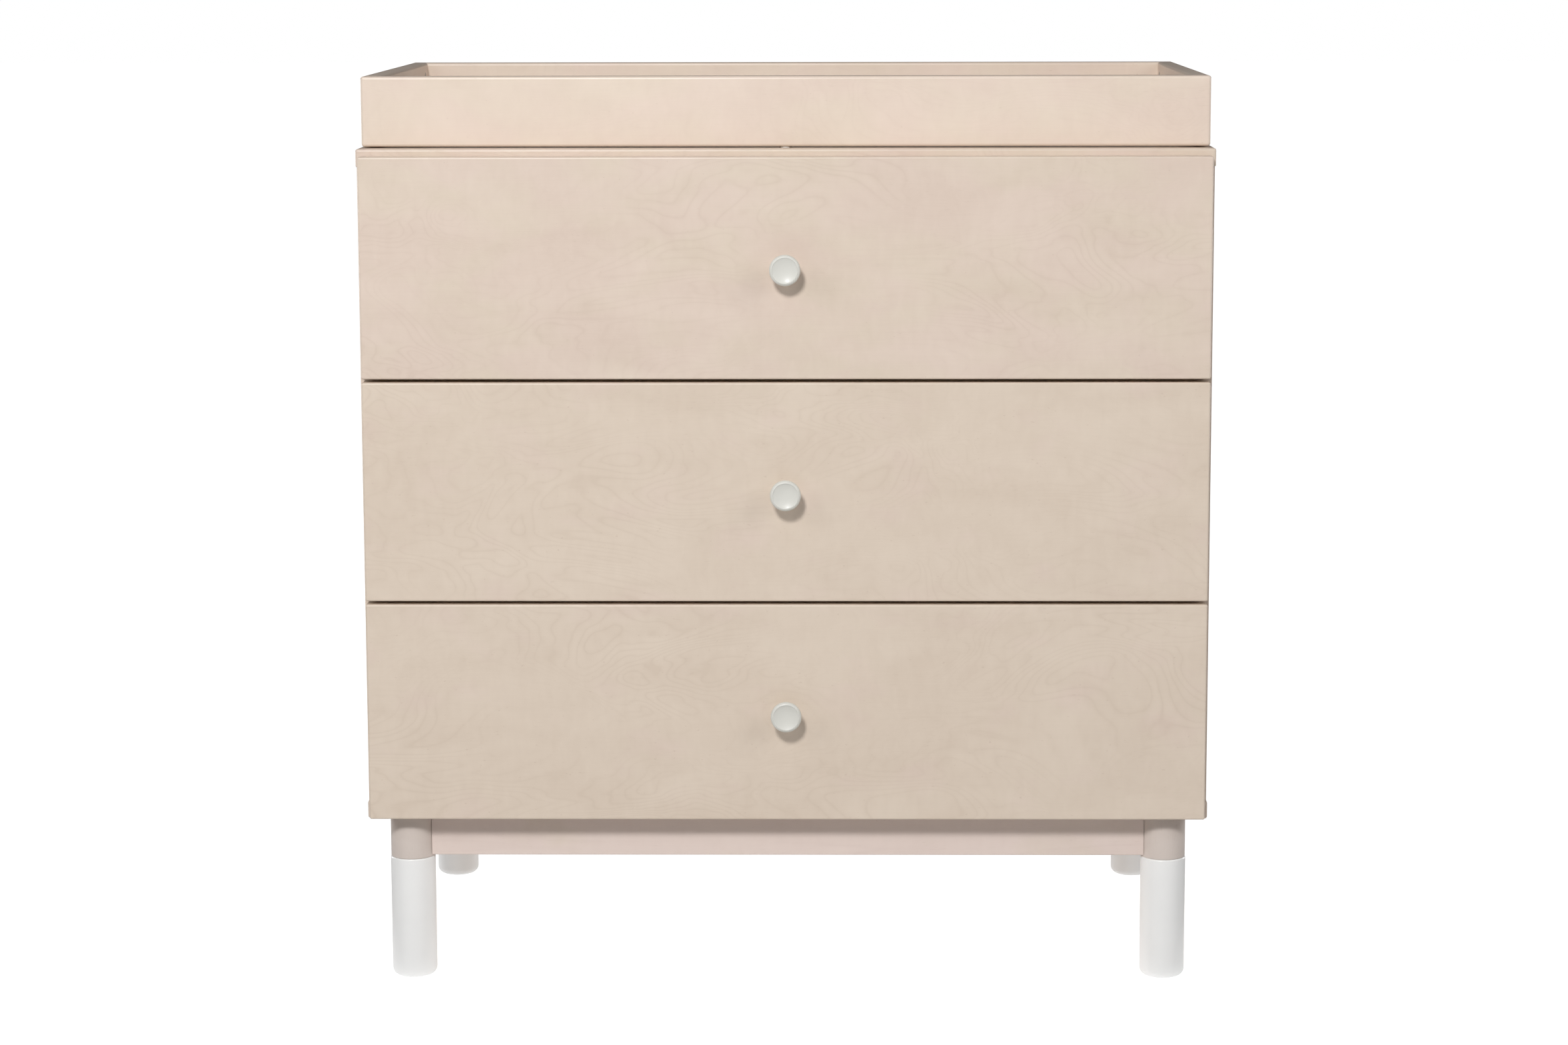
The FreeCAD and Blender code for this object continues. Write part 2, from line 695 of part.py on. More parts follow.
def drawer(name, level, machine_screw):
    """One drawer with its knob and the slide members that move with it; level counts up from the bottom."""
    front_low = "first_front + %d * pitch" % level
    box_low = front_low + " + box_rise"
    slide_middle = box_low + " + slide_rise"
    middle_x, middle_z = "front_width / 2", "front_height / 2"

    front = board(
        name + "_drawer_front",
        ("front_width", "front_thick", "front_height"),
        ("-front_width / 2", "front_face", front_low),
    )
    ease(front, "front_round")
    rear_face = "-front_thick"
    for left in ("front_width / 2 - box_half", "front_width / 2 + box_half - box_thick"):
        slot(front, "XZ", rear_face, (left, "box_rise"), ("box_thick", "box_height"), "box_groove", True)
    groove = ("front_width / 2 - box_inner / 2 - box_groove", "box_rise + bottom_rise")
    groove_size = ("box_inner + 2 * box_groove", "bottom_thick")
    slot(front, "XZ", rear_face, groove, groove_size, "box_groove", True)
    drill(front, "XZ", "0", [(middle_x, middle_z)], "machine_hole_dia", "front_thick")

    top = value("box_height")
    for side_name, is_left in (("left", True), ("right", False)):
        low_x = "-box_half" if is_left else "box_half - box_thick"
        inner = "box_thick" if is_left else "0"
        side = board(
            "%s_drawer_%s_side" % (name, side_name),
            ("box_thick", "box_depth + box_groove", "box_height"),
            (low_x, "front_back - box_groove", box_low),
        )
        ease(side, "box_ease", lambda edge: runs(edge, "y") and edge.BoundBox.ZMin > top - 1)
        length = ("box_depth + box_groove", "bottom_thick")
        slot(side, "YZ", inner, ("0", "bottom_rise"), length, "box_groove", flip=not is_left)

    back = board(
        name + "_drawer_back",
        ("box_inner", "box_thick", "box_height"),
        ("-box_inner / 2", "front_back + box_depth - box_thick", box_low),
    )
    ease(back, "box_ease", lambda edge: runs(edge, "x") and edge.BoundBox.ZMin > top - 1)
    slot(back, "XZ", "0", ("0", "bottom_rise"), ("box_inner", "bottom_thick"), "box_groove")

    board(
        name + "_drawer_bottom",
        ("box_inner + 2 * bottom_hold", "box_depth - box_thick + 2 * bottom_hold", "bottom_thick"),
        ("-box_inner / 2 - bottom_hold", "front_back - bottom_hold", box_low + " + bottom_rise"),
    )

    knob(name + "_knob", ("0", "front_face", front_low + " + " + middle_z))
    screw_place = ("0", "front_back", front_low + " + " + middle_z)
    copies(name + "_knob_screw", [(machine_screw, [(screw_place, UPRIGHT)])])
    label = name + "_drawer_slide_members"
    slide_members(label, "box_half", "box_half + inner_reach", "inner_half", slide_middle)
    label = name + "_intermediate_members"
    web = "inside_half - middle_start"
    slide_members(label, web, web + " - middle_reach", "middle_half", slide_middle)


def machine_screw_body():
    """A pan-head machine screw, the underside of its head at the origin and its thread towards -Y."""
    body = body_at("machine_screw", is_piece=False)
    thread = "machine_dia / 2"
    head = "machine_head_dia / 2"
    end = "-front_thick - knob_hollow"
    top = "machine_head_tall"
    shank = [("0", top), ("0", end), (thread, end), (thread, "0")]
    turn(body, shank + [(head, "0"), (head, top + " / 2"), (thread, top, top + " / 6")], plane="XY")
    return body


def knob(label, place):
    """A turned knob standing out towards -Y: foot, neck, spreading head, rounded rim and dished face."""
    body = body_at(label, place)
    rim_bulge = "knob_dia / 2 - (knob_lip_dia + knob_under_dia) / 4"
    corners = [
        ("0", "0"),
        ("0", "-knob_reach + knob_dish"),
        ("knob_lip_dia / 2", "-knob_reach", "-knob_dish / 4"),
        ("knob_under_dia / 2", "-knob_under_high", rim_bulge),
        ("knob_neck_dia / 2", "-knob_neck_high", "-knob_flare"),
        ("knob_base_dia / 2", "0", "-knob_foot_flare"),
    ]
    turn(body, corners, plane="XY")
    drill(body, "XZ", "0", [("0", "0")], "machine_dia", "knob_hollow", flip=True)


# The tray


def tray_cross_board(label, is_front):
    """The tray's front or rear board: it covers the ends of the side boards."""
    low_y = "tray_front" if is_front else "tray_rear - tray_thick"
    body = board(label, ("tray_width", "tray_thick", "tray_height"), ("-tray_width / 2", low_y, "tray_low"))
    ease(body, "tray_round")
    side_bolt = "tray_thick - cam_axis"
    across = (side_bolt, "tray_width - (%s)" % side_bolt)
    centres = [(x, z) for x in across for z in ("cam_low", "cam_low + cam_spread")]
    inner = "-tray_thick" if is_front else "0"
    drill(body, "XZ", inner, centres, "cam_thread_dia", "cam_thread_length", flip=is_front)
    if not is_front:
        columns = ["tray_width / 2 + %d * bracket_x" % side for side in (-1, 1)]
        screws = [(x, z) for x in columns for z in bracket_screw_heights()]
        grip = "pan_screw_length - bracket_thick"
        drill(body, "XZ", "-tray_thick", screws, "screw_dia", grip, flip=True)


def bracket_screw_heights():
    """Above the tray's lower edge."""
    shift = "bracket_low - tray_low"
    return ["bracket_screw_low + " + shift, "bracket_screw_high + " + shift]


def tray_side_board(label, is_left):
    low_x = "-tray_width / 2" if is_left else "tray_width / 2 - tray_thick"
    size = ("tray_thick", "tray_side_length", "tray_height")
    body = board(label, size, (low_x, "tray_front + tray_thick", "tray_low"))
    ease(body, "tray_round", lambda edge: runs(edge, "y"))
    inner = "tray_thick" if is_left else "0"
    heights = ("cam_low", "cam_low + cam_spread")
    cams = [(y, z) for y in ("cam_reach", "tray_side_length - cam_reach") for z in heights]
    drill(body, "YZ", inner, cams, "cam_dia", "cam_depth", flip=not is_left)
    ends = [("tray_thick - cam_axis" if is_left else "cam_axis", z) for z in heights]
    drill(body, "XZ", "0", ends, "cam_hole_dia", "cam_reach")
    drill(body, "XZ", "-tray_side_length", ends, "cam_hole_dia", "cam_reach", flip=True)


def make_tray_cams(lock, bolt):
    locks = []
    bolts = []
    for side in (-1, 1):
        outwards = FreeCAD.Vector(side, 0, 0)
        for end in (-1, 1):
            along = FreeCAD.Vector(0, end, 0)
            edge = "tray_front + tray_thick" if end < 0 else "tray_rear - tray_thick"
            for z in ("tray_low + cam_low", "tray_low + cam_low + cam_spread"):
                cam_x = "%d * (tray_width / 2 - tray_thick)" % side
                locks.append(((cam_x, "%s - %d * cam_reach" % (edge, end), z), facing(outwards, along)))
                bolt_x = "%d * (tray_width / 2 - tray_thick + cam_axis)" % side
                bolts.append(((bolt_x, edge, z), facing(along * -1, outwards)))
    copies("tray_cam_locks", [(lock, locks)])
    copies("tray_cam_bolts", [(bolt, bolts)])


def make_bumpers():
    bumper = body_at("bumper", is_piece=False)
    sketch = sketch_on(bumper, "XY")
    circle(sketch, "0", "0", "bumper_dia")
    pad(bumper, sketch, "bumper_thick")
    front, rear = "tray_front + tray_thick / 2", "tray_rear - tray_thick / 2"
    spots = [("0", front), ("0", rear)]
    for side in (-1, 1):
        x = "%d * (tray_width / 2 - tray_thick / 2)" % side
        spots += [(x, "tray_front + bumper_inset"), (x, "tray_rear - bumper_inset")]
    copies("tray_bumpers", [(bumper, [((x, y, "case_top"), UPRIGHT) for x, y in spots])])


def make_brackets(pan):
    """Steel plates on the tray's rear board, each with an open slot below, round a screw in the case."""
    size = ("bracket_width", "bracket_thick", "bracket_height")
    bracket = board("bracket", size, ("0", "0", "0"), is_piece=False)
    ease(bracket, "bracket_round", lambda edge: runs(edge, "y"))
    middle = "bracket_width / 2"
    heights = ("bracket_screw_low", "bracket_screw_high")
    drill(bracket, "XZ", "0", [(middle, z) for z in heights], "screw_dia", "bracket_thick")
    slot_low = (middle + " - slot_width / 2", "0")
    slot(bracket, "XZ", "0", slot_low, ("slot_width", "slot_top - slot_width / 2"), "bracket_thick")
    drill(bracket, "XZ", "0", [(middle, "slot_top - slot_width / 2")], "slot_width", "bracket_thick")
    plates = []
    screws = []
    for side in (-1, 1):
        x = "%d * bracket_x" % side
        plates.append(((x + " - bracket_width / 2", "tray_rear", "bracket_low"), UPRIGHT))
        for z in heights:
            screws.append(((x, "tray_rear + bracket_thick", "bracket_low + " + z), rotated("x", -90)))
    copies("tray_brackets", [(bracket, plates)])
    copies("tray_bracket_screws", [(pan, screws)])


# Everything together

flat, pan, lock, bolt = flat_screw(), pan_screw(), cam_lock(), cam_bolt()

make_top_panel()
make_bottom_panel()
side_panel("left_side_panel", True)
side_panel("right_side_panel", False)
make_back_panel()
make_rails()

apron("front_apron", True, -1)
apron("rear_apron", True, 1)
apron("left_apron", False, -1)
apron("right_apron", False, 1)
for end_name, rear in (("front", -1), ("rear", 1)):
    for side_name, right in (("left", -1), ("right", 1)):
        corner = "%s_%s_" % (end_name, side_name)
        post(corner + "post", right, rear)
        foot(corner + "foot", right, rear)
make_foot_bolts()
make_corner_blocks()
make_panel_screws(flat, pan)
make_case_cams(lock, bolt)
make_case_slide_members()

machine_screw = machine_screw_body()
for level, drawer_name in enumerate(("bottom", "middle", "top")):
    drawer(drawer_name, level, machine_screw)

tray_cross_board("tray_front_board", True)
tray_cross_board("tray_rear_board", False)
tray_side_board("tray_left_board", True)
tray_side_board("tray_right_board", False)
make_tray_cams(lock, bolt)
make_bumpers()
make_brackets(pan)

doc.recompute()
for item in doc.Objects:
    if "Invalid" in item.State or "Error" in item.State:
        raise RuntimeError("failed: %s %s" % (item.Label, item.State))
for piece in pieces:
    if piece.Shape.isNull() or not piece.Shape.isValid():
        raise RuntimeError("bad shape: " + piece.Label)

os.makedirs("parts", exist_ok=True)
for piece in pieces:
    piece.Shape.exportStep("parts/%s.step" % piece.Label)
print("wrote %d pieces" % len(pieces))
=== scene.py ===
import math
import random

import bmesh
import bpy
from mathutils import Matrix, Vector


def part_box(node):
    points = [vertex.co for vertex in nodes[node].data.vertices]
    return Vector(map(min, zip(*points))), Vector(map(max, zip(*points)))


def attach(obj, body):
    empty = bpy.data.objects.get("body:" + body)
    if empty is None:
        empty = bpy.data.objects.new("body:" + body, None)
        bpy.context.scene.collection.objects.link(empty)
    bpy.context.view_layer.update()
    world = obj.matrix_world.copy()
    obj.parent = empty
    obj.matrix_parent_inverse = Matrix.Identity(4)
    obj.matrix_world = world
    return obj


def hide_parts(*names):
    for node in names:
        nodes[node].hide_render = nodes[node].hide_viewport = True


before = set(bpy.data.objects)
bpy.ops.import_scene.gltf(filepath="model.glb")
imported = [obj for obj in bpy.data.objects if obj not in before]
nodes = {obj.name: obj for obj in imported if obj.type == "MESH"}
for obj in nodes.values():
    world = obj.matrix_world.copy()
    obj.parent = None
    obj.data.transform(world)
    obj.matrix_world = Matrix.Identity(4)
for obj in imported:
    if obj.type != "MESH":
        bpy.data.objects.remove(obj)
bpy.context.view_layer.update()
print("frame loaded:", len(nodes), "pieces")

# metres and degrees; the shift is in parts of the sensor's width
cameraSizes = {
    "place": (0.068, -3.838, 1.066),
    "down": 8.17,
    "left": 0.60,
    "roll": 0.10,
    "lens": 82.3,
    "sensor": 36,
    "shift": (-0.0195, -0.0385),
    "sees": 200,
}
cameraData = bpy.data.cameras.new("camera")
cameraData.lens = cameraSizes["lens"]
cameraData.sensor_width = cameraSizes["sensor"]
cameraData.shift_x, cameraData.shift_y = cameraSizes["shift"]
cameraData.clip_end = cameraSizes["sees"]
camera = bpy.data.objects.new("camera", cameraData)
camera.location = cameraSizes["place"]
camera.rotation_euler = [
    math.radians(angle) for angle in (90 - cameraSizes["down"], cameraSizes["roll"], cameraSizes["left"])
]
bpy.context.scene.collection.objects.link(camera)
bpy.context.scene.camera = camera
bpy.context.scene.view_settings.view_transform = "Standard"


# a node's output in a tree, so that plain sums on it add Math nodes
class Wire:
    def __init__(self, graph, socket):
        self.graph = graph
        self.socket = socket

    def sum(self, operation, first, second):
        return self.graph.node("ShaderNodeMath", {"operation": operation}, {0: first, 1: second})

    def __add__(self, other):
        return self.sum("ADD", self, other)

    def __radd__(self, other):
        return self.sum("ADD", other, self)

    def __sub__(self, other):
        return self.sum("SUBTRACT", self, other)

    def __rsub__(self, other):
        return self.sum("SUBTRACT", other, self)

    def __mul__(self, other):
        return self.sum("MULTIPLY", self, other)

    def __rmul__(self, other):
        return self.sum("MULTIPLY", other, self)


class Graph:
    def __init__(self, tree):
        self.tree = tree
        tree.nodes.clear()

    def node(self, kind, settings=None, sockets=None, output=0):
        made = self.tree.nodes.new(kind)
        for name, setting in (settings or {}).items():
            if name == "stops":
                self.setStops(made.color_ramp, setting)
            else:
                setattr(made, name, setting)
        for key, value in (sockets or {}).items():
            # a list holds the wires of a socket that takes several
            for wire in value if isinstance(value, list) else [value]:
                if isinstance(wire, Wire):
                    self.tree.links.new(wire.socket, made.inputs[key])
                else:
                    made.inputs[key].default_value = wire
        return Wire(self, made.outputs[output]) if len(made.outputs) else made

    def setStops(self, ramp, stops):
        while len(ramp.elements) < len(stops):
            ramp.elements.new(1)
        for element, (place, shade) in zip(ramp.elements, stops):
            element.position = place
            element.color = (shade, shade, shade, 1)

    def ramp(self, value, *stops):
        return self.node("ShaderNodeValToRGB", {"stops": stops}, {"Fac": value})

    def blend(self, factor, first, second):
        sockets = {0: factor, 6: colour(first), 7: colour(second)}
        return self.node("ShaderNodeMix", {"data_type": "RGBA"}, sockets, 2)


def colour(value):
    return value if isinstance(value, Wire) else (*value, 1)


def linear(*levels):
    # colours are written as everyday 0-255 levels
    return tuple(((v / 255 + 0.055) / 1.055) ** 2.4 for v in levels)


# a material whose patterns stand still on the piece
class Finish(Graph):
    def __init__(self, name):
        self.material = bpy.data.materials.new(name)
        self.material.use_nodes = True
        super().__init__(self.material.node_tree)
        self.place = self.node("ShaderNodeTexCoord", output="Object")

    # noise whose blotches are this long along the grain and this wide across it, in metres
    def noise(self, long, wide, detail=2, grain=None, start=(0, 0, 0), distortion=0, rough=0.5):
        scale = [1 / wide] * 3
        if grain is not None:
            scale[grain] = 1 / long
        sockets = {"Vector": self.place, "Location": tuple(start), "Scale": tuple(scale)}
        at = self.node("ShaderNodeMapping", None, sockets)
        sockets = {"Vector": at, "Scale": 1, "Detail": detail, "Roughness": rough, "Distortion": distortion}
        return self.node("ShaderNodeTexNoise", None, sockets)

    def finish(self, base, roughness, metallic=0, height=None, depth=0.0001, **fixed):
        sockets = {"Base Color": base, "Roughness": roughness, "Metallic": metallic}
        sockets.update({name.replace("_", " "): value for name, value in fixed.items()})
        if height is not None:
            bump = {"Strength": 1, "Distance": depth, "Height": height}
            sockets["Normal"] = self.node("ShaderNodeBump", None, bump)
        shader = self.node("ShaderNodeBsdfPrincipled", None, sockets)
        self.node("ShaderNodeOutputMaterial", None, {"Surface": shader})
        return self.material


# pale rotary-cut veneer under a thin whitening wash; lengths in metres, colours in 0-255 levels
# a pair is the length along the grain and the width across it
washedWood = {
    "pale": (231, 215, 201),
    "deep": (213, 194, 179),
    "pink": (225, 206, 192),
    "straw": (223, 209, 189),
    "pore": (186, 161, 142),
    "straws": 0.5,
    "tintShare": 0.45,
    "cloud": (0.12, 0.06),
    "cloudShare": 1.4,
    "mottle": (0.011, 0.022),
    "mottleShare": 0.6,
    "figure": (0.22, 0.10),
    "patch": (0.26, 0.14),
    "rings": 26,
    "tint": (0.08, 0.045),
    "figureShare": 0.8,
    "fibre": (0.09, 0.0012),
    "fibreShare": 0.35,
    "speck": (0.004, 0.0016),
    "speckShare": 0.22,
    "rough": 0.30,
    "pores": (0.010, 0.0007),
    "poreShare": 0.16,
    "poreDepth": 0.00004,
}
drawerWood = dict(
    washedWood,
    pale=(227, 210, 184),
    deep=(209, 188, 159),
    pink=(223, 201, 174),
    straw=(227, 211, 181),
    pore=(174, 146, 114),
    figure=(0.6, 0.09),
    rings=9,
    figureShare=0.5,
    poreShare=0.3,
)
frameWood = dict(drawerWood, pale=(223, 204, 176), deep=(201, 177, 146), rings=14)
backBoard = dict(washedWood, pale=(224, 208, 192), deep=(212, 193, 176), poreDepth=0.00002)
trayWood = dict(
    washedWood,
    pale=(237, 221, 206),
    deep=(221, 202, 187),
    pink=(232, 213, 199),
    straw=(230, 215, 197),
    figureShare=0.3,
)
apronWood = dict(
    washedWood,
    pale=(236, 222, 213),
    deep=(222, 206, 197),
    pink=(234, 216, 208),
    straws=0,
    figure=(0.5, 0.05),
    rings=4,
    poreShare=0.3,
)
postWood = dict(apronWood, pale=(222, 212, 204), deep=(208, 196, 188), pink=(218, 205, 197))
# boards whose veneer leans more to pink or to straw
frontStraws = {"top_drawer_front": 0.4, "middle_drawer_front": 0.9, "bottom_drawer_front": 0.95}


def makeWood(name, sizes, grain, start):
    # each noise that must not follow another starts a little further on
    wood = Finish(name)
    cloud = wood.noise(*sizes["cloud"], 3, grain, start, distortion=0.6)
    tint = wood.noise(*sizes["tint"], 2, grain, [v + 7.3 for v in start])
    height = wood.noise(*sizes["figure"], 2.5, grain, [v + 3.1 for v in start], distortion=0.7)
    patch = wood.noise(*sizes["patch"], 1, grain, [v + 5.9 for v in start])
    mottle = wood.noise(*sizes["mottle"], 2, grain, start, distortion=0.4)
    fibre = wood.noise(*sizes["fibre"], 3, grain, start, rough=0.6)
    pore = wood.noise(*sizes["pores"], 1, grain, start)
    speck = wood.noise(*sizes["speck"], 0, grain, [v + 11 for v in start])

    # the year rings that a peeling knife lays open as closed swirls
    rings = wood.node("ShaderNodeMath", {"operation": "SINE"}, {0: height * (sizes["rings"] * 2 * math.pi)})
    lines = wood.ramp(rings * 0.5 + 0.5, (0, 0.42), (0.7, 0.55), (0.93, 0.72), (1, 1))
    shown = wood.ramp(patch, (0.42, 0.15), (0.62, 1))
    pores = wood.ramp(pore, (0.66, 0), (0.76, 1)) * wood.ramp(cloud, (0.4, 0.1), (0.7, 1))
    specks = wood.ramp(speck, (0.84, 0), (0.88, 1))

    shade = 0.5 + (cloud - 0.5) * sizes["cloudShare"] + (mottle - 0.5) * sizes["mottleShare"]
    shade = shade + (fibre - 0.5) * sizes["fibreShare"] + (lines - 0.5) * shown * sizes["figureShare"]
    base = wood.blend(wood.ramp(shade, (0, 0), (1, 1)), linear(*sizes["pale"]), linear(*sizes["deep"]))
    straws = wood.ramp(tint + (sizes["straws"] - 0.5) * 0.4, (0.38, 0), (0.62, 1))
    tinted = wood.blend(straws, linear(*sizes["pink"]), linear(*sizes["straw"]))
    base = wood.blend(sizes["tintShare"], base, tinted)
    base = wood.blend(pores * sizes["poreShare"], base, linear(*sizes["pore"]))
    base = wood.blend(specks * sizes["speckShare"], base, linear(*sizes["pore"]))
    roughness = sizes["rough"] + fibre * 0.1 + pores * 0.12
    return wood.finish(base, roughness, height=fibre * 0.5 - pores, depth=sizes["poreDepth"])


footLacquer = {"white": (248, 248, 247), "shade": (242, 242, 241), "rough": 0.36, "peel": 0.006, "coat": 0.25}
knobLacquer = {"white": (222, 221, 214), "shade": (215, 214, 207), "rough": 0.42, "peel": 0.004, "coat": 0.12}


def makeLacquer(name, sizes):
    paint = Finish(name)
    cloud = paint.noise(1, 0.05, 2)
    peel = paint.noise(1, sizes["peel"], 1)
    base = paint.blend(cloud, linear(*sizes["white"]), linear(*sizes["shade"]))
    roughness = sizes["rough"] + (cloud - 0.5) * 0.1
    coat = {"Coat_Weight": sizes["coat"], "Coat_Roughness": 0.15}
    return paint.finish(base, roughness, height=peel, depth=0.00003, **coat)


# levels, and the size and depth of the mottling in metres
metals = {
    "zinc_casting": {"pale": (176, 176, 178), "rough": 0.46, "mottle": 0.0012, "depth": 0.00004},
    "zinc_plated_steel": {"pale": (196, 196, 194), "rough": 0.3, "mottle": 0.004, "depth": 0.00001},
    "slide_steel": {"pale": (188, 190, 194), "rough": 0.34, "mottle": 0.006, "depth": 0.00001},
}


def makeMetal(name):
    sizes = metals[name]
    metal = Finish(name + "_finish")
    spangle = metal.noise(1, sizes["mottle"], 2)
    smear = metal.noise(1, 0.03, 2)
    deep = [v - 22 for v in sizes["pale"]]
    base = metal.blend(spangle, linear(*sizes["pale"]), linear(*deep))
    roughness = sizes["rough"] + (smear - 0.5) * 0.18 + (spangle - 0.5) * 0.1
    return metal.finish(base, roughness, 1, height=spangle, depth=sizes["depth"])


rubber = {"pale": (205, 202, 196), "deep": (188, 184, 178), "grain": 0.0006}


def makeRubber(name):
    soft = Finish(name)
    grain = soft.noise(1, rubber["grain"], 2)
    cloud = soft.noise(1, 0.004, 1)
    base = soft.blend(cloud, linear(*rubber["pale"]), linear(*rubber["deep"]))
    return soft.finish(base, 0.6 + (grain - 0.5) * 0.2, height=grain, depth=0.00004)


woods = {
    "washed_wood": washedWood,
    "drawer_wood": drawerWood,
    "frame_wood": frameWood,
    "back_board": backBoard,
}
plain = {name: makeMetal(name) for name in metals}
footWhite = makeLacquer("foot_lacquer_finish", footLacquer)
knobWhite = makeLacquer("knob_lacquer_finish", knobLacquer)
plain["bumper_rubber"] = makeRubber("bumper_rubber_finish")
chance = random.Random(11)


def grainOf(name):
    # a board's grain runs its longest way; a post's runs up it
    low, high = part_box(name)
    sides = [high[i] - low[i] for i in range(3)]
    return 2 if name.endswith("_post") else sides.index(max(sides))


finishes = {}
slots = {name: node.material_slots[0].material.name for name, node in nodes.items()}
for name in sorted(nodes):
    slotName = slots[name]
    if slotName in woods:
        sizes = woods[slotName]
        if name.endswith("_apron"):
            sizes = apronWood
        if name.startswith("tray_"):
            sizes = trayWood
        if name.endswith("_post"):
            sizes = postWood
        sizes = dict(sizes, straws=frontStraws.get(name, sizes["straws"]))
        start = [chance.uniform(-40, 40) for _ in range(3)]
        finishes[name] = makeWood(name + "_wood", sizes, grainOf(name), start)
    elif slotName == "white_lacquer":
        finishes[name] = knobWhite if name.endswith("_knob") else footWhite
    else:
        finishes[name] = plain[slotName]
    for place in nodes[name].material_slots:
        place.material = finishes[name]
print("finishes made:", len(bpy.data.materials))


def arc(start, end, bulge, steps):
    # points on an arc after its start, bulging to the left of its travel
    chord = Vector(end) - Vector(start)
    half = chord.length / 2
    radius = (half**2 + bulge**2) / (2 * abs(bulge))
    left = Vector((-chord.y, chord.x)).normalized() * (1 if bulge > 0 else -1)
    centre = (Vector(start) + Vector(end)) / 2 + left * (abs(bulge) - radius)
    first = Vector(start) - centre
    sweep = 2 * math.atan2(half, radius - abs(bulge)) * (-1 if bulge > 0 else 1)
    points = []
    for step in range(1, steps + 1):
        turn = sweep * step / steps
        x = first.x * math.cos(turn) - first.y * math.sin(turn)
        y = first.x * math.sin(turn) + first.y * math.cos(turn)
        points.append((centre.x + x, centre.y + y))
    return points


sharpAngle = 38  # degrees; a turned edge that is blunter than this is shaded smooth


def turned(name, profile, centre, forward, around, finish):
    # profile is (radius, distance along the axis), both ends on the axis
    mesh = bpy.data.meshes.new(name)
    shape = bmesh.new()
    axis = Vector(forward)
    side = Vector((1, 0, 0))
    third = axis.cross(side)
    rings = []
    for radius, along in profile:
        middle = Vector(centre) + axis * along
        if radius < 1e-7:
            rings.append([shape.verts.new(middle)])
            continue
        ring = []
        for step in range(around):
            angle = 2 * math.pi * step / around
            ring.append(shape.verts.new(middle + (side * math.cos(angle) + third * math.sin(angle)) * radius))
        rings.append(ring)
    for one, two in zip(rings, rings[1:]):
        for step in range(around):
            after = (step + 1) % around
            if len(one) == 1:
                shape.faces.new((one[0], two[step], two[after]))
            elif len(two) == 1:
                shape.faces.new((one[step], two[0], one[after]))
            else:
                shape.faces.new((one[step], two[step], two[after], one[after]))
    bmesh.ops.recalc_face_normals(shape, faces=shape.faces)
    for face in shape.faces:
        face.smooth = True
    shape.to_mesh(mesh)
    shape.free()
    mesh.set_sharp_from_angle(angle=math.radians(sharpAngle))
    mesh.materials.append(finish)
    piece = bpy.data.objects.new(name, mesh)
    bpy.context.scene.collection.objects.link(piece)
    return piece


knobSizes = {
    "around": 96,
    "head": 0.0315,
    "reach": 0.025,
    "lip": 0.0268,
    "lipRound": 0.0006,
    "dish": 0.0026,
    "under": 0.0287,
    "underOut": 0.019,
    "neck": 0.0135,
    "neckOut": 0.0085,
    "base": 0.0175,
    "headHollow": 0.0025,
    "footHollow": 0.0012,
}


def knobProfile():
    s = knobSizes
    lip = (s["lip"] / 2, s["reach"] - s["lipRound"] * 0.25)
    inner = (lip[0] - s["lipRound"], s["reach"] - s["lipRound"] * 0.4)
    under = (s["under"] / 2, s["underOut"])
    neck = (s["neck"] / 2, s["neckOut"])
    bulge = s["head"] / 2 - (s["lip"] + s["under"]) / 4
    points = [(0, s["reach"] - s["dish"])]
    points += arc(points[-1], inner, -s["dish"] / 4, 18)
    points += arc(inner, lip, s["lipRound"] * 0.28, 5)
    points += arc(lip, under, bulge, 16)
    points += arc(under, neck, -s["headHollow"], 14)
    points += arc(neck, (s["base"] / 2, 0), -s["footHollow"], 8)
    return points + [(0, 0)]


for level in ("bottom", "middle", "top"):
    name = level + "_knob"
    low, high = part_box(name)
    centre = ((low[0] + high[0]) / 2, high[1], (low[2] + high[2]) / 2)
    profile = knobProfile()
    knob = turned(level + "_turned_knob", profile, centre, (0, -1, 0), knobSizes["around"], finishes[name])
    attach(knob, level + "_drawer")
    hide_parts(name)

# a post is a little slimmer than its foot, which leaves a thin seam at the aprons
legAround = 128
legSizes = {
    "foot": {"slimmer": 0, "lowRound": 0.008, "topRound": 0.0018},
    "post": {"slimmer": 0.0005, "lowRound": 0.001, "topRound": 0.0003},
}


def legProfile(radius, height, lowRound, topRound):
    bulge = math.sqrt(0.5) - 1
    points = [(0, 0), (radius - lowRound, 0)]
    points += arc(points[-1], (radius, lowRound), lowRound * bulge, 12)
    points.append((radius, height - topRound))
    points += arc(points[-1], (radius - topRound, height), topRound * bulge, 6)
    return points + [(0, height)]


for end in ("front", "rear"):
    for side in ("left", "right"):
        for kind, sizes in legSizes.items():
            name = "%s_%s_%s" % (end, side, kind)
            low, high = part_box(name)
            outer = (high[0] - low[0]) / 2
            centre = (low[0] + outer, low[1] + outer, low[2])
            radius = outer - sizes["slimmer"]
            profile = legProfile(radius, high[2] - low[2], sizes["lowRound"], sizes["topRound"])
            leg = turned(name + "_turned", profile, centre, (0, 0, 1), legAround, finishes[name])
            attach(leg, "case")
            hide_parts(name)
print("turned pieces made")


def makeTree(name, labels):
    tree = bpy.data.node_groups.new(name, "GeometryNodeTree")
    tree.is_modifier = True
    for label, kind in labels.items():
        tree.interface.new_socket(name=label, in_out="INPUT", socket_type="NodeSocket" + kind)
    tree.interface.new_socket(name="Geometry", in_out="OUTPUT", socket_type="NodeSocketGeometry")
    graph = Graph(tree)
    source = tree.nodes.new("NodeGroupInput")
    return graph, {label: Wire(graph, source.outputs[label]) for label in labels}


